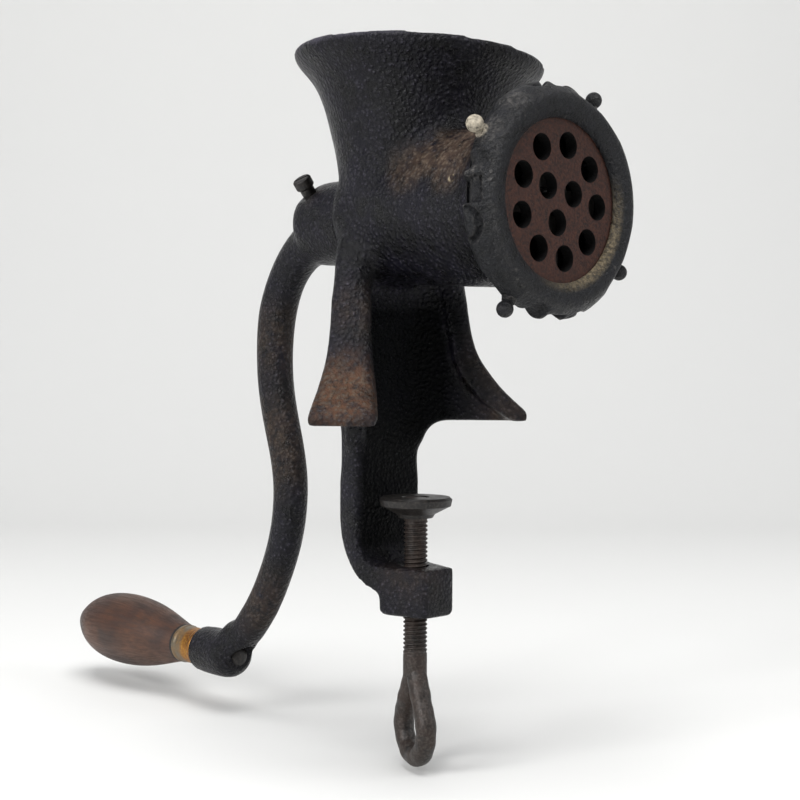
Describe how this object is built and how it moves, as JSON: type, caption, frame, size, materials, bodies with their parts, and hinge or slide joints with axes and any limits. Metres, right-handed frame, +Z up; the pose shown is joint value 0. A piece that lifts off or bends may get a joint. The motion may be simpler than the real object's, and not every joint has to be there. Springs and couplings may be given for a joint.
{
  "type": "hand crank meat grinder",
  "caption": "Cast iron table-clamp meat grinder with flared hopper, screw-on ring and hole plate, feed worm, swan-neck crank and turned wooden grip.",
  "frame": {"origin": "where the clamp screw's axis meets the table-top plane on which both feet stand", "axes": "+Z up along the clamp screw, -Y to the mouth with the hole plate, +Y to the crank"},
  "size_m": [0.097, 0.2672, 0.2351],
  "materials": {
    "black_painted_iron": "worn gloss paint over rough casting",
    "worn_ring_iron": "paint worn to grey on the ridges",
    "rusted_plate_steel": "dull red-brown rust film",
    "bare_cast_iron": "as cast",
    "bare_steel": "ground",
    "dark_screw_steel": "dark, brown with age",
    "ferrule_brass": "tarnished",
    "turned_wood": "dark stain, worn"
  },
  "bodies": {
    "stand": {"body_casting": "black_painted_iron", "plate_key_pin": "bare_steel", "thrust_washer": "bare_steel"},
    "drive": {"crank_arm": "black_painted_iron", "crank_set_screw": "dark_screw_steel", "feed_worm": "bare_cast_iron", "knife_stud": "bare_steel", "cutter_knife": "bare_steel", "handle_spindle": "bare_steel", "spindle_washer": "bare_steel"},
    "grip": {"handle_grip": "turned_wood", "handle_ferrule": "ferrule_brass"},
    "hole_plate": {"grinder_plate": "rusted_plate_steel"},
    "ring": {"ring_nut": "worn_ring_iron"},
    "pad": {"clamp_pad": "dark_screw_steel"},
    "screw": {"clamp_screw": "dark_screw_steel"}
  },
  "joints": [
    {"name": "crank_turn", "type": "hinge", "parent": "stand", "child": "drive", "pos_m": [0, 0, 0.0676], "axis": [0, 1, 0], "continuous": true},
    {"name": "grip_spin", "type": "hinge", "parent": "drive", "child": "grip", "pos_m": [0, 0.16, -0.0923], "axis": [0, 1, 0], "continuous": true},
    {"name": "plate_travel", "type": "slide", "parent": "stand", "child": "hole_plate", "axis": [0, -1, 0], "range_m": [0, 0.0056]},
    {"name": "ring_turn", "type": "hinge", "parent": "hole_plate", "child": "ring", "pos_m": [0, -0.058, 0.0676], "axis": [0, -1, 0], "range_deg": [0, 660]},
    {"name": "clamp_travel", "type": "slide", "parent": "stand", "child": "pad", "axis": [0, 0, 1], "range_m": [-0.0151, 0.0121]},
    {"name": "clamp_turn", "type": "hinge", "parent": "pad", "child": "screw", "pos_m": [0, 0, -0.06], "axis": [0, 0, 1], "range_deg": [-3860, 3095]}
  ],
  "couplings": [
    {"joint": "plate_travel", "follows": "ring_turn", "m_per_rad": 0.00047746},
    {"joint": "clamp_turn", "follows": "clamp_travel", "rad_per_m": 4453}
  ]
}
